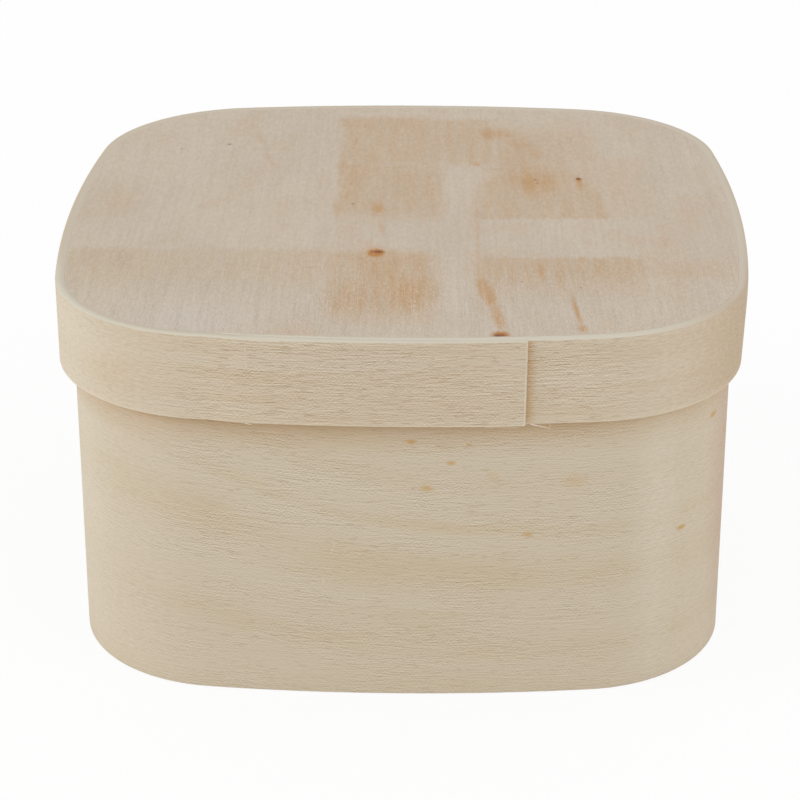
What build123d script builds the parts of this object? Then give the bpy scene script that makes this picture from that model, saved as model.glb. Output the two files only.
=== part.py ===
from build123d import *

import math
import os
from dataclasses import dataclass

# Square bentwood box with a lift-off lid. Two strips of veneer are bent round a square with rounded
# corners. Each strip laps over its own start, where both ends are skived thin and glued. A three-ply
# panel is glued into the lid's strip at the top, and another into the wall's strip at the bottom.
# The lid drops over the wall and rests on its top edge.
# Frame: +Z up, and -Y is the front, where the lid's lap shows. The origin is the middle of the underside.

# Overall sizes, in millimetres
LID_WIDTH = 110.0  # outside the lid, between the middles of two opposite sides
TOTAL_HEIGHT = 60.5  # from the table to the top of the closed lid
LID_RIM_HEIGHT = 13.5  # width of the lid's strip
CORNER_RADIUS = 26.5  # outside of the lid's bent corners
SIDE_RADIUS = 265.0  # outside of the lid's sides, which bow out a little

# Veneers, glue lines and the fit of the lid
LID_STRIP_THICKNESS = 1.5
WALL_STRIP_THICKNESS = 1.5
OUTER_PLY = 0.7  # the two outer plies of a panel
CORE_PLY = 1.6  # the cross-grain ply between them
EDGE_GLUE = 0.1  # between a panel's edge and its strip
LAP_GLUE = 0.1  # between the two ends of a strip
LID_CLEARANCE = 0.3  # between the lid's strip and the wall's lap, where the wall is thickest
EDGE_BREAK = 0.25  # how far the strips' sharp outer edges are sanded off

# The lid's lap, on the front
LID_LAP_END = 18.5  # from the middle of the front to the outer end
LID_LAP_LENGTH = 41.5
LID_OUTER_TIP = 0.5  # thickness left at the skived outer end
LID_INNER_TIP = 0.4  # thickness left at the skived inner end
LID_LAP_CLIMB = 5.0  # length over which the strip climbs onto its inner end
LID_END_BEVEL = 0.35  # how far the outer end slopes back

# The wall's lap, on the back, skived thinner so that the lid passes over it
WALL_LAP_END = 21.0  # from the middle of the back to the outer end
WALL_LAP_LENGTH = 43.0
WALL_OUTER_TIP = 0.2
WALL_INNER_TIP = 0.2
WALL_LAP_CLIMB = 5.0
WALL_END_BEVEL = 0.15

PANEL_THICKNESS = CORE_PLY + 2 * OUTER_PLY
WALL_HEIGHT = TOTAL_HEIGHT - PANEL_THICKNESS
WALL_LAP_RISE = LAP_GLUE + max(WALL_OUTER_TIP, WALL_INNER_TIP)

BREAK_PER_TIP = 0.8  # the most of a skived end that sanding its edges may take off
SAME_POINT = 1e-4


class Outline:
    """A square with bowed sides and round corners: eight tangent arcs, counter-clockwise.

    Places on it are arc lengths from the left end of the front side. An offset is a distance
    outwards. Offset arcs are concentric, so a place has the same normal at every offset.
    """

    def __init__(self, inset):
        half_width = LID_WIDTH / 2 - inset
        side_radius = SIDE_RADIUS - inset
        corner_radius = CORNER_RADIUS - inset
        side_centre = side_radius - half_width
        between_centres = side_radius - corner_radius
        corner_centre = (math.sqrt(2 * between_centres**2 - side_centre**2) - side_centre) / 2
        spread = math.degrees(math.atan2(corner_centre, corner_centre + side_centre))
        self.arcs = []
        self.perimeter = 0.0
        for turn in (0, 90, 180, 270):
            side = Vector(0, side_centre).rotate(Axis.Z, turn)
            corner = Vector(corner_centre, -corner_centre).rotate(Axis.Z, turn)
            self._add(side, side_radius, turn - 90 - spread, 2 * spread)
            self._add(corner, corner_radius, turn - 90 + spread, 90 - 2 * spread)
        self.front_middle = math.radians(spread) * side_radius
        self.back_middle = self.front_middle + self.perimeter / 2

    def _add(self, centre, radius, start, sweep):
        self.arcs.append((self.perimeter, centre, radius, math.radians(start)))
        self.perimeter += math.radians(sweep) * radius

    def point(self, place, offset=0.0):
        place = place % self.perimeter
        begin, centre, radius, start = [arc for arc in self.arcs if arc[0] <= place][-1]
        angle = start + (place - begin) / radius
        return centre + Vector(math.cos(angle), math.sin(angle)) * (radius + offset)

    def run(self, first, last, offset=0.0, last_offset=None):
        """Arcs from one place to another, with an offset that changes evenly on the way."""
        last_offset = offset if last_offset is None else last_offset
        rounds = range(math.floor(first / self.perimeter), math.floor(last / self.perimeter) + 1)
        joins = [begin + turn * self.perimeter for turn in rounds for begin, *_ in self.arcs]
        stops = [first] + [join for join in joins if first < join < last] + [last]

        def at(place):
            share = (place - first) / (last - first)
            return self.point(place, offset + share * (last_offset - offset))

        return [ThreePointArc(at(a), at((a + b) / 2), at(b)) for a, b in zip(stops, stops[1:])]

    def whole(self):
        return self.run(0, self.perimeter)


def raised(edges, bottom, height):
    """The solid that stands on a closed outline of edges."""
    return Pos(0, 0, bottom) * extrude(make_face(edges), height, dir=(0, 0, 1))


def sanded(solid, outer_edges, depth):
    """A raised solid with the upper and lower edges of its outer face sanded off."""
    box = solid.bounding_box()
    middles = [edge @ 0.5 for edge in outer_edges]
    targets = [Vector(middle.X, middle.Y, z) for middle in middles for z in (box.min.Z, box.max.Z)]

    def is_outer(edge):
        return any((edge @ 0.5 - target).length < SAME_POINT for target in targets)

    return chamfer(solid.edges().filter_by(is_outer), depth)


@dataclass
class BentStrip:
    """A strip bent once round an outline, lying on its own skived start at the lap."""

    outline: Outline
    thickness: float
    outer_end: float  # place on the outline
    lap_length: float
    outer_tip: float
    inner_tip: float
    climb: float
    bevel: float

    def __post_init__(self):
        self.inner_end = self.outer_end - self.lap_length
        self.foot = self.inner_end - self.climb  # where the strip starts to climb
        self.lifted = self.inner_tip + LAP_GLUE
        self.covered = self.thickness + LAP_GLUE

    def solid(self, bottom, height):
        run, point = self.outline.run, self.outline.point
        turn = self.outline.perimeter
        foot_again = self.foot + turn
        inner_end_again = self.inner_end + turn
        outer_end_again = self.outer_end + turn
        sloped_end = outer_end_again - self.bevel
        top_of_climb = self.lifted + self.thickness
        top_of_end = self.covered + self.outer_tip
        inside = run(self.inner_end, foot_again) + run(foot_again, inner_end_again, 0, self.lifted)
        outside = run(self.outer_end, foot_again, self.thickness)
        outside += run(foot_again, inner_end_again, self.thickness, top_of_climb)
        outside += run(inner_end_again, sloped_end, top_of_climb, top_of_end)
        glued = run(inner_end_again, outer_end_again, self.lifted, self.covered)
        glued += run(self.inner_end, self.outer_end, self.inner_tip, self.thickness)
        ends = [
            Line(point(outer_end_again, self.covered), point(sloped_end, top_of_end)),
            Line(point(self.inner_end), point(self.inner_end, self.inner_tip)),
        ]
        strip = raised(inside + outside + glued + ends, bottom, height)
        return sanded(strip, outside, min(EDGE_BREAK, BREAK_PER_TIP * self.outer_tip))

    def glue(self, bottom, height):
        """The film between the two ends, with the wedge of glue in front of the inner end."""
        run, point = self.outline.run, self.outline.point
        wedge = run(self.foot, self.inner_end) + run(self.foot, self.inner_end, 0, self.lifted)
        film = run(self.inner_end, self.outer_end, self.inner_tip, self.thickness)
        film += run(self.inner_end, self.outer_end, self.lifted, self.covered)
        ends = [
            Line(point(self.inner_end), point(self.inner_end, self.inner_tip)),
            Line(point(self.outer_end, self.thickness), point(self.outer_end, self.covered)),
        ]
        return raised(wedge + film + ends, bottom, height)


def inset_panel(prefix, strip_inset, bottom):
    """Three plies and the glue line round them, set inside a strip."""
    sheet = Outline(strip_inset + EDGE_GLUE)
    seat = raised(Outline(strip_inset).whole(), bottom, PANEL_THICKNESS)
    pieces = {f"{prefix}_edge_glue": seat - raised(sheet.whole(), bottom, PANEL_THICKNESS)}
    for name, thickness in (("lower", OUTER_PLY), ("core", CORE_PLY), ("upper", OUTER_PLY)):
        pieces[f"{prefix}_{name}_ply"] = raised(sheet.whole(), bottom, thickness)
        bottom += thickness
    return pieces


def lid():
    inset = LID_STRIP_THICKNESS
    outline = Outline(inset)
    strip = BentStrip(
        outline,
        LID_STRIP_THICKNESS,
        outline.front_middle + LID_LAP_END,
        LID_LAP_LENGTH,
        LID_OUTER_TIP,
        LID_INNER_TIP,
        LID_LAP_CLIMB,
        LID_END_BEVEL,
    )
    rim_bottom = TOTAL_HEIGHT - LID_RIM_HEIGHT
    return {
        "lid_band": strip.solid(rim_bottom, LID_RIM_HEIGHT),
        "lid_lap_glue": strip.glue(rim_bottom, LID_RIM_HEIGHT),
        **inset_panel("lid", inset, WALL_HEIGHT),
    }


def box():
    inset = LID_STRIP_THICKNESS + LID_CLEARANCE + WALL_LAP_RISE + WALL_STRIP_THICKNESS
    outline = Outline(inset)
    strip = BentStrip(
        outline,
        WALL_STRIP_THICKNESS,
        outline.back_middle + WALL_LAP_END,
        WALL_LAP_LENGTH,
        WALL_OUTER_TIP,
        WALL_INNER_TIP,
        WALL_LAP_CLIMB,
        WALL_END_BEVEL,
    )
    return {
        "wall_band": strip.solid(0, WALL_HEIGHT),
        "wall_lap_glue": strip.glue(0, WALL_HEIGHT),
        **inset_panel("base", inset, 0),
    }


os.makedirs("parts", exist_ok=True)
for node, solid in {**box(), **lid()}.items():
    export_step(solid, f"parts/{node}.step")
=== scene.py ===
import math

import bpy
from mathutils import Matrix, Vector


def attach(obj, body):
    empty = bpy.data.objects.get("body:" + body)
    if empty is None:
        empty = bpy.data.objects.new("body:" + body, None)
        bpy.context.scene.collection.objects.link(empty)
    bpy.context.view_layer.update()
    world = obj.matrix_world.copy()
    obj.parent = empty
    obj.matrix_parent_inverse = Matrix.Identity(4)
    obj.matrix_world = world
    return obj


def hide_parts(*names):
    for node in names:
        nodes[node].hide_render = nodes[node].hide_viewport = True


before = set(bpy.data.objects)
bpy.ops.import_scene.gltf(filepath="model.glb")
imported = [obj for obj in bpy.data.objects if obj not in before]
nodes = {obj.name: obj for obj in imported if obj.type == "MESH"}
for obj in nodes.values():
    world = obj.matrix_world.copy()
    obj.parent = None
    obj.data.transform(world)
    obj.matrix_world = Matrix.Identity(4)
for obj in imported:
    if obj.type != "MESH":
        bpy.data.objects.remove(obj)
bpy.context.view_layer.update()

mm = 0.001
toMillimetres = (1000.0, 1000.0, 1000.0)
seedSteps = (7.31, 3.17, 5.73)  # how far one seed moves a noise along each axis
scene = bpy.context.scene
scene.view_settings.view_transform = "Standard"


def link(data, name):
    item = bpy.data.objects.new(name, data)
    scene.collection.objects.link(item)
    return item


def tone(red, green, blue):
    # a colour as read from a screen, 0 to 255, to the linear one that the sockets take
    def linear(value):
        share = value / 255
        return share / 12.92 if share <= 0.04045 else ((share + 0.055) / 1.055) ** 2.4

    return (linear(red), linear(green), linear(blue), 1.0)


# One socket of a node tree. Sums on it add Math nodes, and add() makes any other node.
class Wire:
    def __init__(self, tree, socket=None):
        self.tree = tree
        self.socket = socket

    def add(self, kind, sockets=None, out=0, **settings):
        node = self.tree.nodes.new(kind)
        for name, value in settings.items():
            setattr(node, name, value)
        for key, value in (sockets or {}).items():
            if isinstance(value, Wire):
                self.tree.links.new(value.socket, node.inputs[key])
            else:
                node.inputs[key].default_value = value
        return Wire(self.tree, node.outputs[out])

    def other(self, out):
        return Wire(self.tree, self.socket.node.outputs[out])

    def math(self, operation, *values):
        return self.add("ShaderNodeMath", dict(enumerate(values)), operation=operation)

    def own(self, operation, *values):
        return self.math(operation, self, *values)

    def __add__(self, value):
        return self.own("ADD", value)

    __radd__ = __add__

    def __sub__(self, value):
        return self.own("SUBTRACT", value)

    def __rsub__(self, value):
        return self.math("SUBTRACT", value, self)

    def __mul__(self, value):
        return self.own("MULTIPLY", value)

    __rmul__ = __mul__

    def __truediv__(self, value):
        return self.own("DIVIDE", value)

    def vector(self, operation, *values, out=0):
        sockets = dict(enumerate((self, *values)))
        return self.add("ShaderNodeVectorMath", sockets, out, operation=operation)

    def parts(self):
        split = self.add("ShaderNodeSeparateXYZ", {0: self})
        return split, split.other(1), split.other(2)

    def joined(self, second, third):
        return self.add("ShaderNodeCombineXYZ", {0: self, 1: second, 2: third})

    def ramp(self, low, high, first=0.0, last=1.0, soft=True):
        sockets = {"Value": self, "From Min": low, "From Max": high, "To Min": first, "To Max": last}
        return self.add("ShaderNodeMapRange", sockets, interpolation_type="SMOOTHSTEP" if soft else "LINEAR")

    # Noise on a vector, with the length of its grains along each axis. The seed is a number or a wire.
    def noise(self, grains, seed=0.0, detail=2.0, rough=0.5):
        sockets = {"Scale": 1.0, "Detail": detail, "Roughness": rough}
        if isinstance(seed, Wire):
            sockets.update({"Vector": self.vector("DIVIDE", grains), "W": seed})
            return self.add("ShaderNodeTexNoise", sockets, noise_dimensions="4D")
        finer = tuple(1 / grain for grain in grains)
        sockets["Vector"] = self.vector("MULTIPLY_ADD", finer, tuple(seed * step for step in seedSteps))
        return self.add("ShaderNodeTexNoise", sockets, noise_dimensions="3D")

    # A factor that mixes two colours, each of them a wire or as read from a screen
    def mix(self, first, last):
        first, last = (value if isinstance(value, Wire) else tone(*value) for value in (first, last))
        return self.add("ShaderNodeMix", {0: self, 6: first, 7: last}, 2, data_type="RGBA")


cameraView = {
    "spot": (7.9, -386.7, 203.9),  # millimetres
    "aim": (0.0, 0.0, 30.25),
    "roll": -0.12,  # degrees
    "lens": 112.53,
    "sensor": 36.0,
    "shift": (-0.0062, -0.0293),
    "nearest": 10.0,  # millimetres
}


def placeCamera(view):
    data = bpy.data.cameras.new("camera")
    data.sensor_width = view["sensor"]
    data.lens = view["lens"]
    data.shift_x, data.shift_y = view["shift"]
    data.clip_start = view["nearest"] * mm
    camera = link(data, "camera")
    spot = Vector(view["spot"]) * mm
    look = (Vector(view["aim"]) * mm - spot).to_track_quat("-Z", "Y").to_matrix().to_4x4()
    roll = Matrix.Rotation(math.radians(view["roll"]), 4, "Z")
    camera.matrix_world = Matrix.Translation(spot) @ look @ roll
    scene.camera = camera


placeCamera(cameraView)
print("camera placed")


# The outline that both strips are bent round, at the outside of the lid, in millimetres
outline = {"halfWidth": 55.0, "sideRadius": 265.0, "cornerRadius": 26.5}


def formerAt(inset):
    # eight tangent arcs: four bowed sides and four corners
    half = outline["halfWidth"] - inset
    side = outline["sideRadius"] - inset
    corner = outline["cornerRadius"] - inset
    sideCentre = side - half
    between = side - corner
    cornerCentre = (math.sqrt(2 * between**2 - sideCentre**2) - sideCentre) / 2
    spread = math.atan2(cornerCentre, cornerCentre + sideCentre)
    sideHalf = spread * side
    quarter = 2 * sideHalf + (math.pi / 2 - 2 * spread) * corner
    return {
        "Side Radius": side,
        "Corner Radius": corner,
        "Side Centre": sideCentre,
        "Corner Centre": cornerCentre,
        "Side Half": sideHalf,
        "Quarter": quarter,
    }


# Geometry Nodes trees, and what comes out of them as a plain mesh
def openTree(name, inputs):
    tree = bpy.data.node_groups.new(name, "GeometryNodeTree")
    tree.interface.new_socket("Geometry", in_out="OUTPUT", socket_type="NodeSocketGeometry")
    for label, kind in {"Geometry": "Geometry", **inputs}.items():
        tree.interface.new_socket(label, in_out="INPUT", socket_type="NodeSocket" + kind)
    entry = tree.nodes.new("NodeGroupInput")
    return tree, {socket.name: Wire(tree, socket) for socket in entry.outputs if socket.name}


def closeTree(tree, result):
    tree.links.new(result.socket, tree.nodes.new("NodeGroupOutput").inputs[0])
    return tree


# Keeps a value on every point, for later nodes and materials
def keepAs(label, geometry, value, kind="FLOAT"):
    sockets = {"Geometry": geometry, "Name": label, "Value": value}
    return geometry.add("GeometryNodeStoreNamedAttribute", sockets, data_type=kind)


def formPiece(name, tree, values, blank):
    source = link(blank, name + "Blank")
    modifier = source.modifiers.new("form", "NODES")
    modifier.node_group = tree
    for item in tree.interface.items_tree:
        if item.in_out == "INPUT" and item.name in values:
            modifier[item.identifier] = values[item.name]
    shaped = source.evaluated_get(bpy.context.evaluated_depsgraph_get())
    piece = link(bpy.data.meshes.new_from_object(shaped), name)
    bpy.data.objects.remove(source)
    return piece


formSizes = [
    *formerAt(0.0),
    "Thickness", "Lap Start", "Lap Length", "Outer Tip", "Inner Tip", "Climb", "Glue Gap",
    "Wave", "Held At", "Free At", "Drawn In", "Drawn At", "Drawn Width",
]
stripSizes = ["Bevel", "Slant", "Wear", "Bottom", "Height", "Ease"]
waves = {"grains": (0.55, 0.55, 0.55), "seed": 3.0}  # lengths for an outline of radius 1
bentReach = (0.6, 0.15)  # shares of a corner's length, from its middle: not bent, fully bent


# The quarter of the outline that a place is on, and the way there from the middle of the quarter's side
def quarterAt(place, size):
    quarters = ((place + size["Side Half"]) / size["Quarter"]).own("FLOOR")
    return quarters, place - quarters * size["Quarter"]


# Takes anything on the flat strip (x along it, -y outwards, z up) round the outline.
# Both ends are skived, and the last stretch climbs onto the strip's own start.
def makeBend():
    tree, size = openTree("bendRoundOutline", {label: "Float" for label in formSizes})
    start = Wire(tree)
    place, inward, rise = start.add("GeometryNodeInputPosition").parts()
    depth = inward * -1
    turn = size["Quarter"] * 4
    again = size["Lap Start"] + turn
    lapEnd = size["Lap Start"] + size["Lap Length"]
    lifted = size["Inner Tip"] + size["Glue Gap"]
    covered = size["Thickness"] + size["Glue Gap"]
    climb = place.ramp(again - size["Climb"], again, 0.0, lifted, False)
    innerFace = climb + place.ramp(again, lapEnd + turn, 0.0, covered - lifted, False)
    outerFace = climb + place.ramp(size["Lap Start"], lapEnd, size["Inner Tip"], size["Thickness"], False)
    endRise = covered + size["Outer Tip"] - lifted - size["Thickness"]
    outerFace = outerFace + place.ramp(again, lapEnd + turn, 0.0, endRise, False)
    within = depth.own("MINIMUM", size["Thickness"]).own("MAXIMUM", 0.0)
    share = within / size["Thickness"]
    offset = innerFace + share * (outerFace - innerFace) + (depth - within)

    # the free edge isn't quite even, and is drawn in at one place
    heading = place / turn * math.tau
    ring = heading.own("COSINE").joined(heading.own("SINE"), rise / turn * math.tau)
    uneven = ring.noise(waves["grains"], waves["seed"], 1.0) - 0.5
    away = (place - size["Drawn At"]) / size["Drawn Width"]
    drawn = away.own("ABSOLUTE").ramp(1.0, 0.0) * size["Drawn In"]
    free = rise.ramp(size["Held At"], size["Free At"], 0.0, 1.0, False)
    offset = offset + (uneven * size["Wave"] - drawn) * free

    quarters, along = quarterAt(place, size)
    onSide = along.own("MINIMUM", size["Side Half"])
    onCorner = (along - size["Side Half"]).own("MAXIMUM", 0.0)
    angle = onSide / size["Side Radius"] + onCorner / size["Corner Radius"]
    bent = along.own("GREATER_THAN", size["Side Half"])
    radius = size["Side Radius"] + bent * (size["Corner Radius"] - size["Side Radius"]) + offset
    acrossFront = bent * size["Corner Centre"] + angle.own("SINE") * radius
    centre = size["Side Centre"] - bent * (size["Side Centre"] + size["Corner Centre"])
    toBack = centre - angle.own("COSINE") * radius
    sideTurn = quarters * (math.pi / 2)
    cosTurn = sideTurn.own("COSINE")
    sinTurn = sideTurn.own("SINE")
    spot = (acrossFront * cosTurn - toBack * sinTurn).joined(acrossFront * sinTurn + toBack * cosTurn, rise)
    moved = start.add("GeometryNodeSetPosition", {0: size["Geometry"], "Position": spot})
    return closeTree(tree, moved)


def bentRound(piece, bend, size):
    sizes = {label: size[label] for label in formSizes}
    bent = piece.add("GeometryNodeGroup", {"Geometry": piece, **sizes}, node_tree=bend)
    return bent.add("GeometryNodeSetShadeSmooth", {0: bent, "Shade Smooth": True}, domain="FACE")


# How the strips' edges are worn. Lengths and grains in millimetres, the crease in degrees.
wornEdges = {
    "endLength": 1.0, "slantLength": 12.0, "endGrain": 0.5, "endWear": 2.5,
    "nickGrain": 1.6, "nickSpan": (0.35, 0.75), "nickHigh": 1.5, "topShare": 0.5, "crease": 40,
}


# Draws the strip's section along its whole length, trims and wears its edges, and bends it.
def makeStripTree(bend):
    inputs = {label: "Float" for label in formSizes + stripSizes}
    tree, size = openTree("bentStrip", {**inputs, "Columns": "Int", "Seed": "Float", "Material": "Material"})
    start = Wire(tree)
    lastPlace = size["Lap Start"] + size["Lap Length"] + size["Quarter"] * 4
    line = start.add("GeometryNodeCurvePrimitiveLine", {
        "Start": size["Lap Start"].joined(0.0, 0.0),
        "End": lastPlace.joined(0.0, 0.0),
    })
    line = start.add("GeometryNodeResampleCurve", {0: line, "Count": size["Columns"]})
    section = start.add("GeometryNodeMeshToCurve", {0: size["Geometry"]})
    sweep = {"Curve": line, "Profile Curve": section, "Fill Caps": True}
    strip = start.add("GeometryNodeCurveToMesh", sweep)
    flat = start.add("GeometryNodeInputPosition")
    strip = keepAs("flat", strip, flat, "FLOAT_VECTOR")

    place, inward, rise = flat.parts()
    _, along = quarterAt(place, size)
    cornerLength = size["Quarter"] - size["Side Half"] * 2
    fromMiddle = (along - size["Side Half"]) / cornerLength - 0.5
    strip = keepAs("bent", strip, fromMiddle.own("ABSOLUTE").ramp(*bentReach))

    top = size["Bottom"] + size["Height"]
    atEnd = place.ramp(lastPlace - wornEdges["endLength"] * mm, lastPlace, 0.0, 1.0, False)
    nearEnd = place.ramp(lastPlace - wornEdges["slantLength"] * mm, lastPlace)
    ragged = flat.noise((1.0, 1.0, wornEdges["endGrain"] * mm), size["Seed"], 3.0) - 0.5
    slant = (rise - size["Bottom"] - size["Height"] * 0.5) * size["Slant"] * nearEnd
    bevel = inward / size["Thickness"] * size["Bevel"] * atEnd
    trim = slant + bevel + ragged * atEnd * size["Wear"] * wornEdges["endWear"]
    low = rise.own("LESS_THAN", size["Bottom"] + size["Ease"] * wornEdges["nickHigh"])
    high = rise.own("GREATER_THAN", top - size["Ease"] * wornEdges["nickHigh"])
    worn = flat.noise((wornEdges["nickGrain"] * mm, 1.0, 1.0), size["Seed"] + 5.0, 4.0, 0.6)
    nicks = worn.ramp(*wornEdges["nickSpan"]) * size["Wear"]
    shift = trim.joined(0.0, nicks * (low - high * wornEdges["topShare"]))
    strip = start.add("GeometryNodeSetPosition", {0: strip, "Offset": shift})

    strip = bentRound(strip, bend, size)
    sharp = start.add("GeometryNodeInputMeshEdgeAngle").own("GREATER_THAN", math.radians(wornEdges["crease"]))
    crease = {0: strip, "Selection": sharp, "Shade Smooth": False}
    strip = start.add("GeometryNodeSetShadeSmooth", crease, domain="EDGE")
    strip = start.add("GeometryNodeRealizeInstances", {0: strip})
    strip = start.add("GeometryNodeSetMaterial", {0: strip, "Material": size["Material"]})
    return closeTree(tree, strip)


# The strip's section as a closed loop: x is depth, -y is height
def stripSection(name, strip):
    thick = strip["thickness"]
    low = -strip["bottom"]
    top = low - strip["height"]
    inner = strip["innerEase"], 2  # radius, facets
    outer = strip["ease"], 4
    corners = [((0.0, top), *inner), ((thick, top), *outer), ((thick, low), *outer), ((0.0, low), *inner)]
    ways = [Vector((1, 0)), Vector((0, 1)), Vector((-1, 0)), Vector((0, -1))]
    loop = []
    for index, (corner, ease, steps) in enumerate(corners):
        wayIn = ways[index - 1]
        wayOut = ways[index]
        centre = Vector(corner) + ease * (wayOut - wayIn)
        for step in range(steps + 1):
            angle = math.pi / 2 * step / steps
            loop.append(centre + ease * (math.sin(angle) * wayIn - math.cos(angle) * wayOut))
        if index % 2:
            last = Vector(corner) + ease * wayOut
            nextCorner, nextEase, _ = corners[(index + 1) % 4]
            following = Vector(nextCorner) - nextEase * wayOut
            loop += [last.lerp(following, row / strip["rows"]) for row in range(1, strip["rows"])]
    mesh = bpy.data.meshes.new(name)
    points = [(point.x * mm, point.y * mm, 0.0) for point in loop]
    mesh.from_pydata(points, [(index, (index + 1) % len(points)) for index in range(len(points))], [])
    return mesh


# The length once round a strip, and where its outer end lies
def lapPlace(strip):
    turn = 4 * formerAt(strip["inset"])["Quarter"]
    return turn, strip["lapAt"] * turn / 2 + strip["lapEnd"]


# The sizes that the bend takes. Those not worked out here come from the strip, as Lap Length from lapLength.
def bendSizes(strip):
    turn, lapEnd = lapPlace(strip)
    sizes = formerAt(strip["inset"])
    sizes["Lap Start"] = lapEnd - strip["lapLength"]
    sizes["Drawn At"] = strip["drawnAt"] + strip["lapAt"] * turn
    for label in formSizes:
        if label not in sizes:
            first, *others = label.split()
            sizes[label] = strip["".join([first.lower(), *others])]
    return {label: size * mm for label, size in sizes.items()}


def makeStrip(name, strip, tree, material):
    values = bendSizes(strip)
    for key in ("bevel", "wear", "bottom", "height", "ease"):
        values[key.capitalize()] = strip[key] * mm
    for key in ("slant", "columns", "seed"):
        values[key.capitalize()] = strip[key]
    values["Material"] = material
    return formPiece(name, tree, values, stripSection(name + "Section", strip))


fibreSizes = ["From", "To", "Low", "High", "Depth", "Thin"]
fibreForm = {"steps": 7, "sides": 5, "taper": 0.75}
fuzzRanges = {
    "length": (0.3 * mm, 0.9 * mm), "lean": (-0.5, 0.5), "stand": (0.02 * mm, 0.12 * mm),
    "curl": (-0.1 * mm, 0.1 * mm), "thick": (0.25, 0.5),
}


# Loose fibres on the flat strip: the listed ones and a scattered fuzz. They bend with it.
def makeFibreTree(bend):
    inputs = {label: "Float" for label in formSizes + fibreSizes}
    tree, size = openTree("looseFibres", {**inputs, "Count": "Int", "Seed": "Int", "Material": "Material"})
    start = Wire(tree)

    def stored(label):
        return start.add("GeometryNodeInputNamedAttribute", {"Name": label}, data_type="FLOAT")

    def chance(low, high, order):
        return start.add("FunctionNodeRandomValue", {2: low, 3: high, "Seed": size["Seed"] + order}, 1)

    # one straight fibre of unit length, thinner towards its tip
    line = start.add("GeometryNodeCurvePrimitiveLine", {"End": (1.0, 0.0, 0.0)})
    line = start.add("GeometryNodeResampleCurve", {0: line, "Count": fibreForm["steps"]})
    reach = start.add("GeometryNodeSplineParameter")
    line = keepAs("reach", line, reach)
    circle = {"Resolution": fibreForm["sides"], "Radius": size["Thin"]}
    section = start.add("GeometryNodeCurvePrimitiveCircle", circle)
    thinner = 1.0 - reach * fibreForm["taper"]
    sweep = {"Curve": line, "Profile Curve": section, "Scale": thinner, "Fill Caps": True}
    fibre = start.add("GeometryNodeCurveToMesh", sweep)

    root = chance(size["From"], size["To"], 0)
    root = root.joined(size["Depth"] * -1, chance(size["Low"], size["High"], 1))
    fuzz = start.add("GeometryNodePoints", {"Count": size["Count"], "Position": root})
    for order, (label, (low, high)) in enumerate(fuzzRanges.items()):
        fuzz = keepAs(label, fuzz, chance(low, high, order + 2))
    listed = start.add("GeometryNodeMeshToPoints", {0: size["Geometry"]})
    roots = start.add("GeometryNodeJoinGeometry", {0: listed})
    tree.links.new(fuzz.socket, roots.socket.node.inputs[0])

    lean = start.add("ShaderNodeCombineXYZ", {1: stored("lean") * -1})
    fibres = start.add("GeometryNodeInstanceOnPoints", {
        "Points": roots, "Instance": fibre,
        "Rotation": start.add("FunctionNodeEulerToRotation", {0: lean}),
        "Scale": stored("length").joined(stored("thick"), stored("thick")),
    })
    fibres = start.add("GeometryNodeRealizeInstances", {0: fibres})
    bow = stored("reach") * stored("reach")
    bow = start.add("ShaderNodeCombineXYZ", {1: stored("stand") * bow * -1, 2: stored("curl") * bow})
    fibres = start.add("GeometryNodeSetPosition", {0: fibres, "Offset": bow})
    fibres = bentRound(fibres, bend, size)
    fibres = start.add("GeometryNodeSetMaterial", {0: fibres, "Material": size["Material"]})
    return closeTree(tree, fibres)


# The listed fibres' roots on the flat strip, on its outer layer
def fibreRoots(name, strip, look):
    turn, lapEnd = lapPlace(strip)
    spots = []
    for place, height, *_ in look["listed"]:
        along = place if place > lapEnd else place + turn
        spots.append((along * mm, -(strip["thickness"] - look["sunk"]) * mm, height * mm))
    mesh = bpy.data.meshes.new(name)
    mesh.from_pydata(spots, [], [])
    shapes = list(zip(*(fibre[2:] for fibre in look["listed"])))
    for label, values in zip(fuzzRanges, shapes):
        scale = {"lean": math.radians(1), "thick": 1.0}.get(label, mm)
        kept = mesh.attributes.new(label, "FLOAT", "POINT")
        kept.data.foreach_set("value", [value * scale for value in values])
    return mesh


def growFibres(name, strip, look, tree, material):
    turn, lapEnd = lapPlace(strip)
    values = bendSizes(strip)
    values["From"] = (lapEnd + look["clear"]) * mm
    values["To"] = (lapEnd + turn - look["clear"]) * mm
    values["Low"], values["High"] = (height * mm for height in look["between"])
    values["Depth"] = (strip["thickness"] - look["sunk"]) * mm
    values["Thin"] = look["thin"] * mm
    values["Count"] = look["fuzz"]
    values["Seed"] = look["seed"]
    values["Material"] = material
    return formPiece(name, tree, values, fibreRoots(name + "Roots", strip, look))


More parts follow.
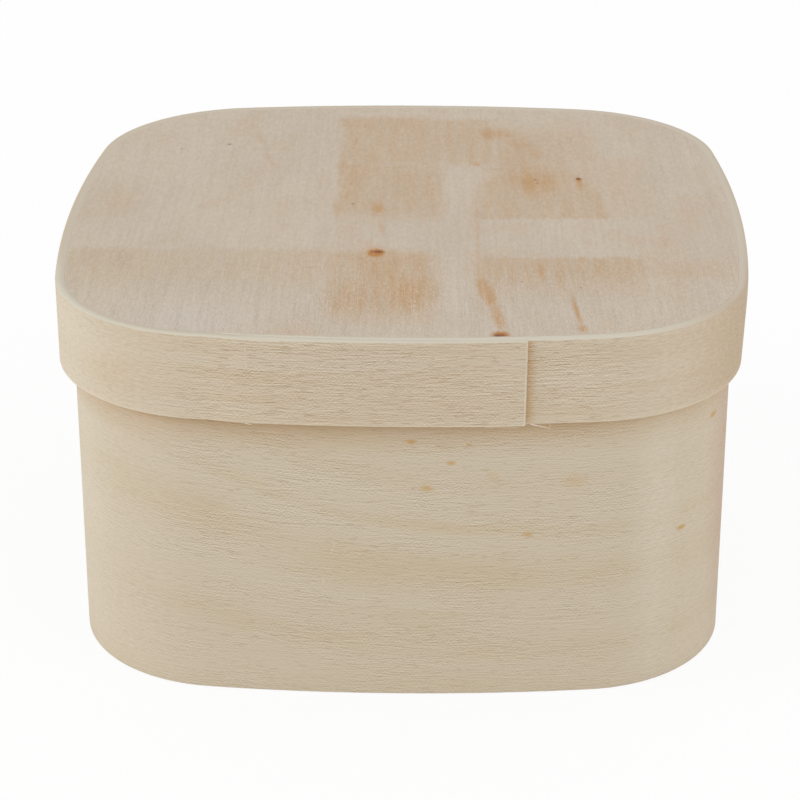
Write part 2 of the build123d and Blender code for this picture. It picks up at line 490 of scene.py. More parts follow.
# Places on a strip count from the middle of the front, to the right, in millimetres
lidRim = {
    "inset": 1.5, "thickness": 1.5, "bottom": 47.0, "height": 13.5,
    "lapAt": 0, "lapEnd": 18.8, "lapLength": 41.8,  # on the front
    "outerTip": 0.5, "innerTip": 0.4, "climb": 5.0, "glueGap": 0.1,
    "bevel": 0.2, "slant": 0.0166,  # of the outer end
    "ease": 0.25, "innerEase": 0.04, "wear": 0.06,
    "wave": 0.12, "heldAt": 57.5, "freeAt": 47.0, "drawnIn": 0.42, "drawnAt": 72.0, "drawnWidth": 42.0,
    "columns": 640, "rows": 10, "seed": 11.0,
}
wallStrip = {
    "inset": 3.6, "thickness": 1.5, "bottom": 0.0, "height": 57.5,
    "lapAt": 1, "lapEnd": 21.0, "lapLength": 43.0,  # on the back
    "outerTip": 0.2, "innerTip": 0.2, "climb": 5.0, "glueGap": 0.1,
    "bevel": 0.15, "slant": -0.004,
    "ease": 0.25, "innerEase": 0.1, "wear": 0.05,
    "wave": 0.1, "heldAt": 3.0, "freeAt": 57.5, "drawnIn": 0.35, "drawnAt": -68.0, "drawnWidth": 45.0,
    "columns": 520, "rows": 24, "seed": 23.0,
}
# Listed fibres: place, height, length, lean in degrees, how far the tip stands off and curls up, thickness
rimFibres = {
    "thin": 0.06, "sunk": 0.03, "fuzz": 90, "between": (47.4, 60.0), "clear": 1.0, "seed": 5,
    "listed": [
        (19.4, 47.1, 3.0, -15, 0.35, 0.15, 1.8),  # splinter beside the lap's end
        (12.8, 47.05, 5.2, 0, 0.1, -0.15, 0.9),
        (-22.3, 47.05, 1.0, -8, 0.15, 0.0, 1.6),
        (-22.0, 59.2, 2.4, -87, 0.02, 0.15, 0.85),  # broken ridge over the inner end
        (-21.95, 56.8, 1.7, -95, 0.02, -0.1, 0.75),
        (-23.8, 56.1, 1.6, -2, 0.02, 0.0, 0.7),
        (-21.8, 53.6, 1.5, -92, 0.02, 0.0, 0.7),
        (-21.7, 50.3, 1.0, -88, 0.02, 0.0, 0.8),
    ],
}
wallFibres = {
    "thin": 0.06, "sunk": 0.03, "fuzz": 160, "between": (0.6, 45.0), "clear": 1.0, "seed": 8,
    "listed": [
        (22.4, 46.1, 1.1, -90, 0.1, 0.0, 0.9),
        (-9.7, 26.6, 1.4, -84, 0.08, 0.1, 0.8),
        (-9.9, 25.3, 0.7, -100, 0.08, 0.0, 0.9),
        (-11.4, 20.3, 1.0, -86, 0.06, 0.0, 0.8),
        (-5.3, 17.5, 0.9, -94, 0.06, 0.0, 0.8),
        (-26.0, 18.0, 0.8, -88, 0.06, 0.0, 0.8),
        (26.2, 44.0, 1.2, -90, 0.08, 0.0, 0.8),
    ],
}


# Materials. Places and lengths on a piece are in millimetres.
noiseSpan = (0.3, 0.7)  # most of a noise lies between these
hairSpan = 0.5  # the hair value that is fully light or dark
rowStep = 3.7  # sets neighbouring rows of fibres apart in a noise


def openShader(name, rough, specular):
    material = bpy.data.materials.new(name)
    material.use_nodes = True
    shader = material.node_tree.nodes["Principled BSDF"]
    shader.inputs["Roughness"].default_value = rough
    shader.inputs["Specular IOR Level"].default_value = specular
    return material, shader, Wire(material.node_tree)


def feed(shader, **wires):
    for label, wire in wires.items():
        wire.tree.links.new(wire.socket, shader.inputs[label.replace("_", " ")])


def ownSpot(start):
    return start.add("ShaderNodeTexCoord", out="Object").vector("MULTIPLY", toMillimetres)


def relief(height, strength):
    bump = {"Strength": strength, "Distance": 1.0 * mm, "Height": height}
    return height.add("ShaderNodeBump", bump)


# One noise of a look. A layer is the grains' length on each axis, a step from the seed, detail, roughness.
def figure(point, look, layer):
    grains, step, detail, rough = layer
    return point.noise(grains, look["seed"] + step, detail, rough)


def roughness(wire, look):
    duller, smoother = look["rough"] + look["roughSpread"], look["rough"] - look["roughSpread"]
    return wire.ramp(*look["roughSpan"], duller, smoother)


def withHair(colour, hair, look):
    colour = hair.ramp(0.0, hairSpan, soft=False).mix(colour, look["light"])
    return hair.ramp(0.0, -hairSpan, soft=False).mix(colour, look["deep"])


# How much of an oval mark covers a point: middle, half sizes, lean in degrees, softness
def markOn(point, middle, half, lean, soft):
    sockets = {
        "Vector": point,
        "Location": (*middle, 0.0),
        "Rotation": (0.0, 0.0, math.radians(lean)),
        "Scale": (*half, 1e6),
    }
    local = point.add("ShaderNodeMapping", sockets, vector_type="TEXTURE")
    return local.vector("LENGTH", out=1).ramp(1.0, 1.0 - soft)


# The strongest of a list of marks, each with its strength last
def marksOn(point, marks):
    total = None
    for *shape, amount in marks:
        mask = markOn(point, *shape) * amount
        total = total.own("MAXIMUM", mask) if total else mask
    return total


# Lengths along the grain, through the sheet and up
veneerLayers = {
    "drift": ((38.0, 9.0, 11.0), 0, 1.0, 0.5),
    "ripple": ((6.0, 3.0, 2.0), 1, 2.0, 0.5),
    "mottle": ((14.0, 6.0, 3.5), 3, 2.0, 0.5),
    "cloud": ((24.0, 12.0, 13.0), 4, 2.0, 0.5),
    "coarse": ((22.0, 9.0, 3.0), 8, 2.0, 0.5),
    "blotch": ((1.0, 1.0, 0.4), 10, 2.0, 0.5),
    "lively": ((16.0, 9.0, 4.0), 11, 1.0, 0.5),
}


# Bent veneer, on the strip as it lay flat: x along the grain, y through it, z up
def veneer(name, look, turn):
    material, shader, start = openShader(name, look["rough"], look["specular"])
    flat = start.add("ShaderNodeAttribute", out="Vector", attribute_name="flat")
    flat = flat.vector("MULTIPLY", toMillimetres)
    along, inward, rise = flat.parts()
    around = along.own("WRAP", turn / 2, -turn / 2)  # from the middle of the front
    bent = start.add("ShaderNodeAttribute", out="Fac", attribute_name="bent")

    def layer(label, point=flat):
        return figure(point, look, veneerLayers[label])

    # the growth rings sweep across the front, and the fine lines follow them less steeply
    sweep = ((around - look["sweepAt"]) / look["sweepWidth"]).own("TANH") * look["sweep"]
    sweep = sweep * around.own("ABSOLUTE").ramp(*look["sweepReach"]) * rise.ramp(*look["sweepRise"], False)
    drift = (layer("drift") - 0.5) * look["drift"]
    ripple = (layer("ripple") - 0.5) * look["ripple"]
    level = rise + sweep + drift
    line = rise + sweep * look["follow"] + drift * look["sway"] + ripple
    grain = along.joined(inward, line)

    rings = figure(along.joined(inward, level), look, look["rings"]).ramp(*noiseSpan) * look["ringShare"]
    for middle, half, amount in look["bands"]:
        rings = rings.own("MAXIMUM", (level - middle).own("ABSOLUTE").ramp(half, 0.0) * amount)
    rings = rings * layer("mottle").ramp(*noiseSpan, *look["mottle"], False)
    rings = rings * (1.0 - bent * look["bentRings"])
    colour = rings.own("MINIMUM", 1.0).mix(look["pale"], look["tan"])
    colour = (layer("cloud").ramp(0.4, 0.7) * look["cloud"]).mix(colour, look["grey"])

    point = around.joined(rise, 0.0)

    def marked(colour, shade):
        marks = marksOn(point, look[shade + "Marks"])
        return marks.mix(colour, look[shade]) if marks else colour

    # marks of tone and painted shade, then marks of painted light
    colour = marked(marked(colour, "toneAndShade"), "paintedLight")

    # the bent corners and the strip's upper and lower cut edges are smoother than the rest
    facing = start.add("ShaderNodeNewGeometry", out="Normal").parts()[2].own("ABSOLUTE")
    cut = facing.ramp(*look["cutFacing"])
    calm = (1.0 - bent * look["calm"]) * (1.0 - cut)
    lively = layer("lively", grain).ramp(*look["livelySpan"], *look["lively"])

    # fibres along the grain, each dark one with a pale one beside it
    def fibres(first, second, step, share, length):
        rows = (length, 0.5, 1.0), step, 0.0, 0.5
        one, other = (figure(along.joined(inward, place), look, rows) for place in (first, second))
        return (one - other) * share

    # long straight ones lie in rows, and shorter ones run between them
    count = line / look["fibre"]
    row = count.own("FLOOR") * rowStep
    hair = fibres(row, row + rowStep, 5, *look["longFibres"])
    hair = hair + fibres(count, count + 1.0, 6, *look["shortFibres"])
    fresh = along.ramp(look["lapAt"], look["lapAt"] + look["startLength"], look["startHair"], 1.0)
    hair = hair * calm * lively * fresh
    hair = hair + (layer("blotch") - 0.5) * bent * look["blotch"] * (1.0 - cut)
    colour = withHair(colour, hair, look)

    # cut vessels: short brown dashes, more of them where the sheet is coarse
    thin = along.joined(inward, (line / look["vessel"]).own("FLOOR") * rowStep)
    vessels = thin.noise((look["dash"], 0.5, 1.0), look["seed"] + 9, 0.0)
    vessels = vessels + (layer("coarse", grain) - 0.5) * look["coarse"]
    pores = vessels.ramp(look["dashFrom"], look["dashFrom"] + look["dashSoft"]) * look["pores"] * calm
    colour = pores.mix(colour, look["pore"])

    colour = marked(colour, "fleck")

    # outside, a painted shadow along the lid's edge, warm like light bounced off wood, and a painted shadow
    # where the inner end comes out from under the lap
    depth = inward * -1
    left, middle, right = look["underLidShare"]
    fromBack, toMiddle, toRight = look["underLidSteps"]
    paintedShadow = around.ramp(*fromBack, right, left) + around.ramp(*toMiddle, 0.0, middle - left)
    paintedShadow = paintedShadow + around.ramp(*toRight, 0.0, right - middle)
    paintedShadow = rise.ramp(*look["underLid"]) * paintedShadow + rise.ramp(*look["lidShadowLine"]) * look["lidShadowLineShare"]
    paintedShadow = paintedShadow * rise.ramp(*look["lidFade"])
    # painted shadow cast by the lap's step onto the inner end
    past = along.ramp(look["lapAt"] + look["seamWidth"], look["lapAt"]) * hair.ramp(*look["seamBreak"], False)
    paintedShadow = paintedShadow.own("MAXIMUM", past * look["seamPaintedShadow"])
    paintedShadow = paintedShadow.own("MINIMUM", 1.0) * depth.ramp(*look["outside"])
    colour = paintedShadow.mix(colour, look["paintedShadowTone"])

    # painted light: a painted highlight on the sanded lower edge, and the foot painted paler against the
    # floor's shade
    hemTop, hemLow = (look["hemAt"] + high for high in look["hemHigh"])
    hem = rise.ramp(hemTop, hemLow) * look["hem"]
    foot = rise.ramp(look["hemAt"] + look["footHigh"], look["hemAt"], 0.0, look["foot"], False)
    colour = hem.own("MAXIMUM", foot).mix(colour, look["sanded"])

    # cut edges are paler too, partly a painted highlight: strongest along the front, where the eased edge
    # catches the light, and on the lap's end
    behind = look["edgeBehind"]
    leftEdge, rightEdge = look["frontHighlightEnds"]
    front = around.ramp(*leftEdge, behind, 1.0) * around.ramp(*rightEdge, behind, 1.0)
    smeared = sum(around.ramp(*reach) * depth.ramp(*deep) for reach, deep in look["smears"]) * cut
    colour = (smeared * look["smearShare"]).mix(colour, look["smear"])
    edge = facing.ramp(*look["edgeFacing"]) * front * (1.0 - smeared)
    tipFrom, tipTo = (look["tipAt"] - back for back in look["tipLength"])
    tipTop, tipLow = (look["hemAt"] + high for high in look["tipHigh"])
    tip = along.ramp(tipFrom, tipTo) * rise.ramp(tipTop, tipLow, *look["tipShare"])
    edge = edge.own("MAXIMUM", tip) * look["edgeShare"]
    colour = edge.mix(colour, look["edge"])

    height = (hair - pores) * look["relief"] * (1.0 - edge)
    feed(
        shader,
        Base_Color=colour,
        Roughness=roughness(hair, look),
        Normal=relief(height, look["bump"]),
    )
    return material


rimVeneer = {
    "seed": 40.0, "rough": 0.75, "roughSpread": 0.08, "roughSpan": (-0.3, 0.3),
    "specular": 0.2, "bump": 0.4, "relief": 0.03,
    # the rings' sweep, where it fades round the sides and low down, and their slow drift
    "sweep": 0.0, "sweepAt": 0.0, "sweepWidth": 20.0,
    "sweepReach": (115.0, 60.0), "sweepRise": (0.0, 24.0, 0.35, 1.0),
    "drift": 1.6, "sway": 0.1, "ripple": 0.03, "follow": 0.5,
    "rings": ((70.0, 7.0, 2.6), 2, 1.5, 0.45), "ringShare": 1.0, "bentRings": 0.4, "mottle": (0.4, 1.3),
    "bands": [],  # height, half width, strength
    "pale": (199, 184, 162), "tan": (194, 175, 148), "grey": (198, 185, 166), "cloud": 0.4,
    # fibres: the height of a row, and the share and length of the long and the short ones
    "fibre": 0.165, "longFibres": (0.37, 3.2), "shortFibres": (0.44, 0.32),
    "light": (222, 211, 194), "deep": (149, 130, 101), "calm": 0.8, "blotch": 0.4,
    "livelySpan": (0.36, 0.64), "lively": (0.7, 1.25), "startHair": 1.15, "startLength": 70.0,
    # vessels: the height of a row, a dash's length, and how rare and soft it is
    "vessel": 0.13, "dash": 2.2, "dashFrom": 0.675, "dashSoft": 0.1, "coarse": 0.15,
    "pore": (158, 130, 95), "pores": 0.48,
    # cut edges: how level a face is, where the painted highlight along the front fades, and where glue is
    # smeared
    "cutFacing": (0.3, 0.75), "edgeFacing": (0.5, 0.85), "frontHighlightEnds": ((-80.0, -58.0), (58.0, 30.0)),
    "edge": (212, 206, 190), "edgeShare": 0.85, "edgeBehind": 0.2,
    "smear": (202, 191, 175), "smearShare": 0.9,
    "smears": [((-18.0, -28.0), (1.1, 0.2)), ((42.0, 64.0), (1.5, 0.7))],
    # the painted highlight on the lap's end: its length, height and strength
    "tipLength": (0.25, 0.1), "tipHigh": (13.0, 6.0), "tipShare": (0.35, 0.65),
    # painted highlight on the lower edge and painted light on the foot, both in the sanded colour
    "sanded": (213, 199, 176), "hem": 0.7, "hemAt": 47.0, "hemHigh": (0.45, 0.15),
    "foot": 0.25, "footHigh": 1.4,
    # the painted shadow under the lid's edge on the left, in the middle and on the right, and the painted
    # shadow at the lap's seam
    "paintedShadowTone": (178, 136, 78), "outside": (0.9, 1.3),
    "underLid": (0.0, 1.0), "underLidShare": (0.0, 0.0, 0.0),
    "underLidSteps": ((-110.0, -80.0), (-40.0, -10.0), (18.0, 42.0)),
    "lidShadowLine": (0.0, 1.0), "lidShadowLineShare": 0.0, "lidFade": (53.5, 46.6),
    "seamPaintedShadow": 0.6, "seamWidth": 1.6, "seamBreak": (-0.3, 0.3, 1.3, 0.5),
    # marks: middle from the front's middle and from the table, half sizes, lean, softness, strength
    # a darker tone in the rim's middle, and painted shade on its right corner
    "toneAndShade": (183, 162, 136),
    "toneAndShadeMarks": [((59.0, 54.0), (21.0, 40.0), 0, 0.95, 0.95), ((0.0, 54.0), (26.0, 16.0), 0, 0.7, 0.22)],
    # painted light on the left corner
    "paintedLight": (206, 198, 180), "paintedLightMarks": [((-56.0, 54.0), (16.0, 22.0), 0, 0.8, 0.5)],
    "fleck": (187, 153, 98), "fleckMarks": [],
}
wallVeneer = {
    **rimVeneer,
    "seed": 70.0, "sweep": 7.5, "sweepAt": -22.0, "sweepWidth": 18.0, "drift": 2.0, "follow": 0.25,
    "rings": ((70.0, 7.0, 4.0), 2, 1.5, 0.45), "ringShare": 0.5, "mottle": (0.65, 1.25),
    "bands": [(44.0, 4.0, 0.5), (36.0, 2.2, 0.8), (27.3, 7.0, 1.0), (12.2, 5.0, 0.8)],
    "pale": (198, 185, 164), "tan": (193, 177, 150),
    "longFibres": (0.35, 3.0), "shortFibres": (0.46, 0.35),
    "calm": 0.5, "blotch": 0.26, "lively": (0.6, 1.25), "startHair": 1.0,
    "dash": 1.7, "dashFrom": 0.705, "pores": 0.36,
    # painted highlight on the lower edge and painted light on the foot
    "hem": 0.15, "hemAt": 0.0, "foot": 0.12, "footHigh": 11.0,
    # the painted shadow under the lid's edge
    "underLid": (40.5, 47.0), "underLidShare": (0.37, 0.44, 0.23),
    "lidShadowLine": (45.0, 46.3), "lidShadowLineShare": 0.17,
    # painted shade on the right corner
    "toneAndShade": (186, 160, 141), "toneAndShadeMarks": [((58.0, 30.0), (10.5, 40.0), 0, 0.9, 0.68)],
    # painted light on the left corner, and a painted highlight where the right corner begins
    "paintedLightMarks": [((-55.0, 30.0), (14.0, 44.0), 0, 0.8, 0.4), ((39.0, 26.0), (5.5, 40.0), 0, 0.9, 0.4)],
    "fleckMarks": [
        ((1.95, 43.4), (1.1, 0.6), 0, 0.8, 0.85), ((10.5, 42.9), (0.7, 0.4), 0, 0.8, 0.65),
        ((7.85, 39.9), (1.1, 0.5), 0, 0.8, 0.8), ((4.3, 35.7), (1.6, 0.8), -8, 0.9, 0.7),
        ((14.2, 37.6), (1.5, 1.1), 0, 0.8, 0.22), ((26.3, 36.4), (2.6, 1.7), 0, 0.8, 0.25),
        ((19.4, 27.7), (1.4, 0.7), 0, 0.9, 0.68), ((43.8, 25.5), (1.4, 0.6), 0, 0.8, 0.95),
        ((50.7, 42.0), (1.5, 0.7), 0, 0.8, 0.9), ((56.3, 36.9), (1.0, 1.8), 0, 0.9, 0.6),
    ],
}


# Lengths across the grain, along it and through the sheet
panelLayers = {
    "drift": ((22.0, 70.0, 1e3), 0, 2.0, 0.5),
    "streak": ((0.55, 24.0, 1.0), 1, 3.0, 0.65),
    "fine": ((0.5, 1.4, 1.0), 2, 1.0, 0.5),
    "mottle": ((1.3, 13.0, 1.0), 3, 2.0, 0.5),
    "cloud": ((17.0, 30.0, 1.0), 4, 2.0, 0.5),
    "blush": ((8.0, 12.0, 1.0), 5, 3.0, 0.6),
    "frayed": ((0.9, 6.0, 1.0), 6, 2.0, 0.5),
    "ragged": ((1.5, 9.0, 1.0), 7, 2.0, 0.5),
    "fuzz": ((0.14, 0.8, 1.0), 8, 0.0, 0.5),
    "longFuzz": ((0.14, 6.0, 1.0), 9, 0.0, 0.5),
}


# Flat sheet of a panel: grain from front to back. Patches are straight-sided shades of the sheet below.
def panelWood(name, look):
    material, shader, start = openShader(name, look["rough"], look["specular"])
    lie = {
        "Vector": ownSpot(start),
        "Location": (*look["shift"], 0.0),
        "Rotation": (0.0, 0.0, math.radians(look["askew"])),
    }
    across, along, up = start.add("ShaderNodeMapping", lie, vector_type="TEXTURE").parts()
    if look["turned"]:
        across, along = along, across
    drift = figure(across.joined(along, up), look, panelLayers["drift"]) - 0.5
    across = across + drift * look["drift"]
    grain = across.joined(along, look["seed"])

    def layer(label):
        return figure(grain, look, panelLayers[label])

    streak = layer("streak")
    fine = layer("fine")
    blush = layer("blush")
    colour = layer("cloud").ramp(0.35, 0.65).mix(look["pale"], look["grey"])
    colour = (blush.ramp(0.45, 0.75) * look["blush"]).mix(colour, look["pink"])

    frayed = along + (layer("frayed") - 0.5) * look["frayed"]
    ragged = across + (layer("ragged") - 0.5) * look["ragged"]
    stain = blush.ramp(0.45, 0.8) * look["stray"]
    for left, right, front, back, soft, amount in look["patches"]:
        sides = ragged.ramp(left - soft[0], left + soft[0]) * ragged.ramp(right + soft[1], right - soft[1])
        ends = frayed.ramp(front - soft[2], front + soft[2]) * frayed.ramp(back + soft[3], back - soft[3])
        stain = stain.own("MAXIMUM", sides * ends * amount)
    point = across.joined(along, 0.0)
    for middle, half, front, soft, amount in look["domes"]:
        dome = markOn(point, middle, half, 0.0, 0.2) * frayed.ramp(front - soft, front + soft)
        stain = stain.own("MAXIMUM", dome * amount)
    blotch = layer("mottle").ramp(*noiseSpan, *look["mottle"], False)
    lined = streak.ramp(*noiseSpan, *look["lined"], False)
    stain = stain * blotch * lined
    sheetTone = across.ramp(*look["leftTo"]).mix(look["leftStain"], look["stain"])
    colour = stain.own("MINIMUM", 1.0).mix(colour, sheetTone)

    for shade, breakUp in (("wash", lined), ("rust", blotch * lined), ("amber", 1.0), ("dark", 1.0)):
        marks = marksOn(point, look[shade + "Marks"])
        if marks:
            colour = (marks * breakUp).own("MINIMUM", 1.0).mix(colour, look[shade])

    # towards the front the sheet is rougher: less of the fine figure and more fuzz
    rougher = along.ramp(*look["rougher"])
    fuzz = layer("fuzz") - 0.5 + (layer("longFuzz") - 0.5) * look["longFuzz"]
    hair = (streak - 0.5) * look["streak"] + (fine - 0.5) * (1.0 - rougher * look["fineLost"]) * look["fine"]
    hair = hair + fuzz * rougher * look["fuzz"]
    hair = hair * (stain * rougher * look["stainedHair"] + 1.0)
    feed(
        shader,
        Base_Color=withHair(colour, hair, look),
        Roughness=roughness(fine, look),
        Normal=relief(hair * look["relief"], look["bump"]),
    )
    return material


plainPanel = {
    "seed": 100.0, "rough": 0.75, "roughSpread": 0.08, "roughSpan": (0.2, 0.8),
    "specular": 0.2, "bump": 0.35, "relief": 0.03,
    "turned": False, "askew": 0.0, "shift": (0.0, 0.0),  # how the sheet lies: degrees, millimetres
    "pale": (200, 186, 168), "grey": (197, 183, 166), "pink": (200, 181, 162), "blush": 0.6,
    "stain": (190, 161, 128), "leftStain": (190, 161, 128), "leftTo": (-22.0, -12.0), "stray": 0.5,
    "drift": 2.0, "frayed": 4.0, "ragged": 3.0, "mottle": (0.6, 1.25), "lined": (0.65, 1.3),
    "light": (220, 210, 196), "deep": (164, 146, 124), "rougher": (10.0, -45.0),
    "streak": 0.25, "fine": 0.26, "fineLost": 0.55, "fuzz": 0.42, "longFuzz": 0.45, "stainedHair": 0.4,
    "rust": (189, 149, 104), "amber": (180, 121, 52), "dark": (110, 54, 26), "wash": (200, 191, 180),
    "patches": [], "domes": [], "washMarks": [], "rustMarks": [], "amberMarks": [], "darkMarks": [],
}
# Places on the lid count from its middle
lidPanel = {
    **plainPanel,
    "seed": 130.0, "stray": 0.3, "askew": 0.71, "shift": (-0.43, 0.0), "leftStain": (186, 165, 134),
    # patches: left, right, front, back, softness of each, strength
    "patches": [
        (-11.2, 6.0, 21.5, 47.8, (1.5, 3.0, 3.0, 2.0), 0.6),
        (-11.6, 3.0, 40.0, 47.8, (1.8, 2.5, 4.0, 2.0), 0.72),
        (4.0, 16.5, 22.0, 46.5, (3.0, 2.0, 2.0, 1.5), 0.58),
        (-11.0, 6.4, -4.0, 24.0, (0.8, 2.0, 5.0, 6.0), 0.6),
        (-11.0, -5.5, 3.0, 24.0, (0.8, 2.0, 3.0, 3.0), 0.75),
        (14.0, 34.0, -4.6, 42.0, (4.0, 4.0, 0.8, 6.0), 0.4),
        (11.8, 38.2, -35.0, -21.9, (0.8, 1.0, 9.0, 0.8), 0.6),
        (27.0, 38.2, -32.0, -21.9, (3.0, 1.0, 5.0, 0.8), 0.7),
        (-11.2, 5.4, -46.0, -19.6, (2.4, 2.4, 6.0, 2.5), 0.8),
        (-53.0, -40.0, -29.0, -17.9, (4.0, 3.0, 5.0, 1.6), 0.52),
        (-53.0, -11.6, -34.0, -18.3, (4.0, 2.0, 6.0, 1.5), 0.35),
        (-53.0, -43.5, -4.0, 13.0, (4.0, 3.0, 2.0, 6.0), 0.3),
        (33.0, 42.0, -4.0, 26.0, (3.0, 4.0, 3.0, 6.0), 0.25),
        (39.0, 51.0, -31.0, -23.0, (2.0, 3.0, 3.0, 2.0), 0.35),
    ],
    # domes: middle, half sizes, front edge and its softness, strength
    "domes": [((23.0, -3.0), (12.5, 29.0), -4.6, 0.8, 0.58)],
    # marks: middle, half sizes, lean, softness, strength
    "washMarks": [((-30.0, -47.0), (20.0, 11.0), 0, 0.9, 0.6), ((8.6, -34.0), (3.5, 18.0), 0, 0.9, 0.35)],
    "rustMarks": [
        ((16.5, 38.2), (4.6, 5.2), 24, 0.95, 0.66), ((20.6, 32.0), (3.6, 6.5), 28, 0.95, 0.52),
        ((22.8, 27.5), (3.0, 7.0), 8, 0.95, 0.5), ((22.2, 13.0), (6.5, 10.0), 0, 0.95, 0.72),
        ((21.5, 22.0), (6.0, 20.0), 6, 0.95, 0.35), ((17.0, 19.6), (4.0, 1.2), 0, 0.9, 0.3),
        ((12.9, 10.0), (0.8, 6.5), -4, 0.9, 0.25), ((0.6, -36.0), (6.5, 9.0), 0, 0.9, 0.48),
        ((-26.0, 38.0), (0.9, 9.0), 12, 0.8, 0.2), ((-23.4, 25.0), (0.8, 7.0), 14, 0.8, 0.25),
        ((-20.8, 14.0), (0.9, 5.5), 8, 0.8, 0.15), ((-3.8, 0.0), (1.8, 4.2), 10, 0.9, 0.65),
        ((-3.2, -9.0), (0.9, 6.0), 4, 0.9, 0.4), ((-1.8, -29.0), (0.7, 9.5), 0, 0.8, 0.5),
        ((-4.6, -30.0), (0.6, 8.0), -4, 0.8, 0.35), ((13.3, -36.5), (1.6, 8.0), 6.5, 0.6, 0.95),
        ((14.5, -45.0), (1.4, 9.0), 5.5, 0.8, 0.7), ((26.4, -43.0), (0.7, 9.5), 3, 0.8, 0.75),
        ((26.9, -50.2), (1.1, 2.2), 0, 0.8, 0.8), ((12.2, -17.0), (0.6, 27.0), 0, 0.9, 0.3),
        ((22.0, -28.0), (0.9, 6.5), 0, 0.9, 0.4), ((17.2, -28.0), (0.8, 6.0), 0, 0.9, 0.35),
        ((24.6, -30.0), (0.6, 7.5), 0, 0.9, 0.35), ((19.6, -26.0), (0.5, 5.0), 0, 0.9, 0.3),
        ((30.1, 12.5), (0.8, 5.0), 0, 0.9, 0.8),
        ((22.7, 13.8), (1.5, 1.6), 0, 0.8, 0.8), ((12.7, 21.9), (1.1, 1.2), 0, 0.8, 0.65),
        ((3.4, 22.3), (0.9, 0.8), 0, 0.9, 0.5), ((-1.2, 20.6), (2.5, 0.6), 0, 0.9, 0.35),
        ((28.5, 34.0), (2.2, 2.6), 0, 0.9, 0.2), ((-4.0, -19.7), (3.2, 4.0), 0, 0.9, 0.5),
        ((33.0, 26.0), (2.0, 3.0), 0, 0.9, 0.2), ((-47.0, 3.0), (3.5, 5.0), 0, 0.9, 0.1),
    ],
    "amberMarks": [
        ((-4.0, -19.8), (1.7, 2.2), 0, 0.5, 0.95), ((14.7, -52.6), (1.8, 1.9), 0, 0.6, 0.95),
        ((30.1, 14.3), (0.9, 1.2), 0, 0.9, 0.8),
    ],
    "darkMarks": [
        ((-3.7, -19.4), (1.4, 0.9), -3, 0.9, 0.9), ((30.1, 14.7), (0.6, 0.8), 0, 0.7, 0.9),
        ((22.6, 14.2), (0.45, 0.5), 0, 0.8, 0.6), ((22.9, 12.6), (0.35, 0.45), 0, 0.8, 0.5),
        ((14.5, -52.9), (1.5, 1.1), 0, 0.8, 0.85), ((-30.9, 32.7), (0.5, 0.7), 0, 0.8, 0.55),
        ((-39.1, 30.2), (0.4, 0.6), 0, 0.8, 0.35), ((-8.1, 2.4), (0.4, 0.5), 0, 0.8, 0.55),
        ((18.7, -32.0), (0.35, 0.35), 0, 0.8, 0.6), ((27.8, -34.3), (0.35, 0.35), 0, 0.8, 0.5),
        ((-14.0, -26.0), (1.0, 0.3), 20, 0.8, 0.25),
    ],
}
corePanel = {
    **plainPanel,
    "seed": 170.0, "turned": True, "pale": (190, 168, 138), "grey": (182, 162, 134), "pink": (188, 160, 130),
    "light": (202, 184, 158), "deep": (160, 132, 100), "streak": 0.9,
}


# Dried wood glue: a thin yellowish film, duller where it was wiped
def driedGlue(name, look):
    material, shader, start = openShader(name, look["rough"], look["specular"])
    spot = ownSpot(start)
    smear = figure(spot, look, look["smear"])
    beads = figure(spot, look, look["beads"])
    colour = smear.ramp(*noiseSpan).mix(look["pale"], look["amber"])
    facing = start.add("ShaderNodeNewGeometry", out="Normal").parts()[2]
    colour = facing.ramp(0.5, 0.85).mix(colour, look["sanded"])  # level with the strip's sanded edge
    feed(
        shader,
        Base_Color=colour,
        Roughness=smear.ramp(*noiseSpan, look["rough"], look["wiped"]),
        Normal=relief(beads * look["relief"], look["bump"]),
    )
    return material


gluePaste = {
    "seed": 210.0, "rough": 0.55, "wiped": 0.75, "specular": 0.3, "bump": 0.4, "relief": 0.04,
    "smear": ((3.0, 3.0, 1.2), 0, 3.0, 0.6), "beads": ((0.4, 0.4, 0.4), 1, 2.0, 0.5),
    "pale": (208, 198, 180), "amber": (201, 188, 166), "sanded": (205, 194, 174),
}
lapPaste = {
    **gluePaste, "seed": 217.0,
    "pale": (200, 186, 163), "amber": (194, 178, 152), "sanded": (211, 205, 189),
}


# Loose fibres: the pale wood with hardly any figure
def fibreWood(name, look):
    material, shader, start = openShader(name, look["rough"], look["specular"])
    patchy = figure(ownSpot(start), look, look["patchy"])
    feed(
        shader,
        Base_Color=patchy.ramp(*noiseSpan).mix(look["pale"], look["tan"]),
        Roughness=patchy.ramp(*noiseSpan, look["rough"], look["fuzzy"]),
    )
    return material


looseWood = {
    "seed": 230.0, "rough": 0.65, "fuzzy": 0.75, "specular": 0.2, "patchy": ((0.8, 0.8, 0.8), 0, 2.0, 0.5),
    "pale": (230, 222, 206), "tan": (216, 204, 183),
}

bend = makeBend()
stripTree = makeStripTree(bend)
fibreTree = makeFibreTree(bend)


def dressStrip(name, strip, look):
    turn, lapEnd = lapPlace(strip)
    look = {**look, "tipAt": lapEnd + turn, "lapAt": lapEnd}
    return makeStrip(name, strip, stripTree, veneer(name + "Veneer", look, turn))


rim = dressStrip("lidRim", lidRim, rimVeneer)
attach(rim, "lid")
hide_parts("lid_band")
wall = dressStrip("wallStrip", wallStrip, wallVeneer)
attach(wall, "box")
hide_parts("wall_band")
for piece in (rim, wall):
    print("strip bent:", piece.name, len(piece.data.polygons), "faces")

fibreLook = fibreWood("looseWood", looseWood)
for name, strip, look, body in (
    ("rimFibres", lidRim, rimFibres, "lid"),
    ("wallFibres", wallStrip, wallFibres, "box"),
):
    fibres = growFibres(name, strip, look, fibreTree, fibreLook)
    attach(fibres, body)
    print("fibres grown:", name, len(fibres.data.polygons), "faces")

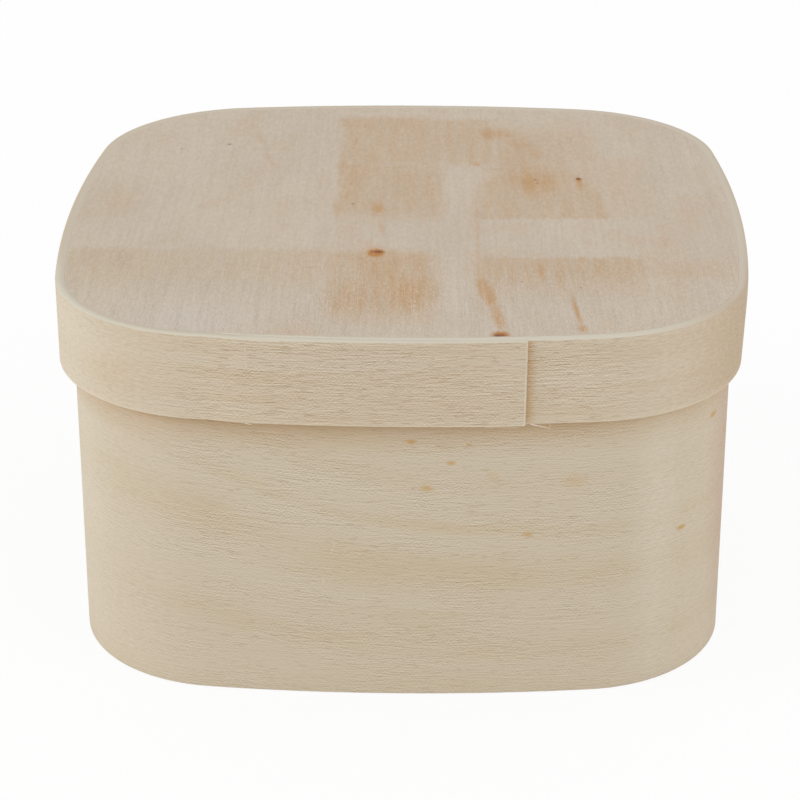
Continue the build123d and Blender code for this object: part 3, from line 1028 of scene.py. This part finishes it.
panelLooks = {
    "lid_upper_ply": panelWood("lidTopVeneer", lidPanel),
    "lid_lower_ply": panelWood("lidUnderVeneer", {**plainPanel, "seed": 143.0}),
    "base_upper_ply": panelWood("baseInsideVeneer", {**plainPanel, "seed": 151.0}),
    "base_lower_ply": panelWood("baseUnderVeneer", {**plainPanel, "seed": 160.0}),
    "lid_core_ply": panelWood("lidCoreVeneer", corePanel),
    "base_core_ply": panelWood("baseCoreVeneer", {**corePanel, "seed": 181.0}),
}
panelLooks["lid_edge_glue"] = panelLooks["base_edge_glue"] = driedGlue("edgeGlue", gluePaste)
panelLooks["lid_lap_glue"] = panelLooks["wall_lap_glue"] = driedGlue("lapGlue", lapPaste)
for name, material in panelLooks.items():
    data = nodes[name].data
    data.materials.clear()
    data.materials.append(material)
print("panels and glue finished:", len(panelLooks))


# Soft, even studio light, a little stronger from the left
studio = {
    "sideLight": 0.74, "topLight": 0.84,  # strength of the world at eye level and overhead
    "floor": (250, 250, 250), "floorGrain": (249, 249, 249), "floorWhite": 0.9,
    "floorSize": 8.0,  # metres
    "floorBelow": 0.1,  # millimetres
    "rough": 0.9, "specular": 0.1, "seed": 5.0, "paper": ((0.002, 0.002, 1.0), 0, 2.0, 0.5),
    # the lamps' aim, then their place and size in metres, and watts
    "aim": (0.0, 0.0, 0.03),
    "lamps": {
        "leftSoftBox": ((-1.2, -0.33, 0.42), 0.7, 5.8),
        "rightSoftBox": ((1.1, -0.6, 0.45), 0.7, 3.6),
    },
}


# 1 for rays that look straight at a surface, also in a mirror or through glass
def seenDirectly(start):
    path = start.add("ShaderNodeLightPath")
    seen = path + path.other("Is Glossy Ray") + path.other("Is Transmission Ray")
    return seen.own("MINIMUM", 1.0)


def lightWorld(look):
    world = bpy.data.worlds.new("studio")
    scene.world = world
    world.use_nodes = True
    start = Wire(world.node_tree)
    up = start.add("ShaderNodeTexCoord", out="Generated").parts()[2]
    level = up.ramp(0.0, 1.0, look["sideLight"], look["topLight"], False)
    seen = seenDirectly(start)
    strength = level + seen * (1.0 - level)
    background = world.node_tree.nodes["Background"]
    background.inputs["Color"].default_value = (1.0, 1.0, 1.0, 1.0)
    feed(background, Strength=strength)


def hangLamp(name, spot, size, watts, target):
    data = bpy.data.lights.new(name, "AREA")
    data.size = size
    data.energy = watts
    lamp = link(data, name)
    aim = Vector(target) - Vector(spot)
    lamp.matrix_world = Matrix.Translation(spot) @ aim.to_track_quat("-Z", "Y").to_matrix().to_4x4()


def layFloor(look):
    half = look["floorSize"] / 2
    level = -look["floorBelow"] * mm
    mesh = bpy.data.meshes.new("floor")
    corners = [(-half, -half, level), (half, -half, level), (half, half, level), (-half, half, level)]
    mesh.from_pydata(corners, [], [(0, 1, 2, 3)])
    material, shader, start = openShader("paperFloor", look["rough"], look["specular"])
    paper = figure(start.add("ShaderNodeTexCoord", out="Object"), look, look["paper"])
    feed(shader, Base_Color=paper.mix(look["floor"], look["floorGrain"]))

    # the camera sees most of the floor as plain white paper, with a light shadow left on it
    glow = start.add("ShaderNodeEmission", {"Color": (1.0, 1.0, 1.0, 1.0), "Strength": 1.0})
    lit = Wire(material.node_tree, shader.outputs[0])
    share = seenDirectly(start) * look["floorWhite"]
    surface = start.add("ShaderNodeMixShader", {0: share, 1: lit, 2: glow})
    feed(material.node_tree.nodes["Material Output"], Surface=surface)
    mesh.materials.append(material)
    link(mesh, "floor")


lightWorld(studio)
for name, (spot, size, watts) in studio["lamps"].items():
    hangLamp(name, spot, size, watts, studio["aim"])
layFloor(studio)
print("studio lit")
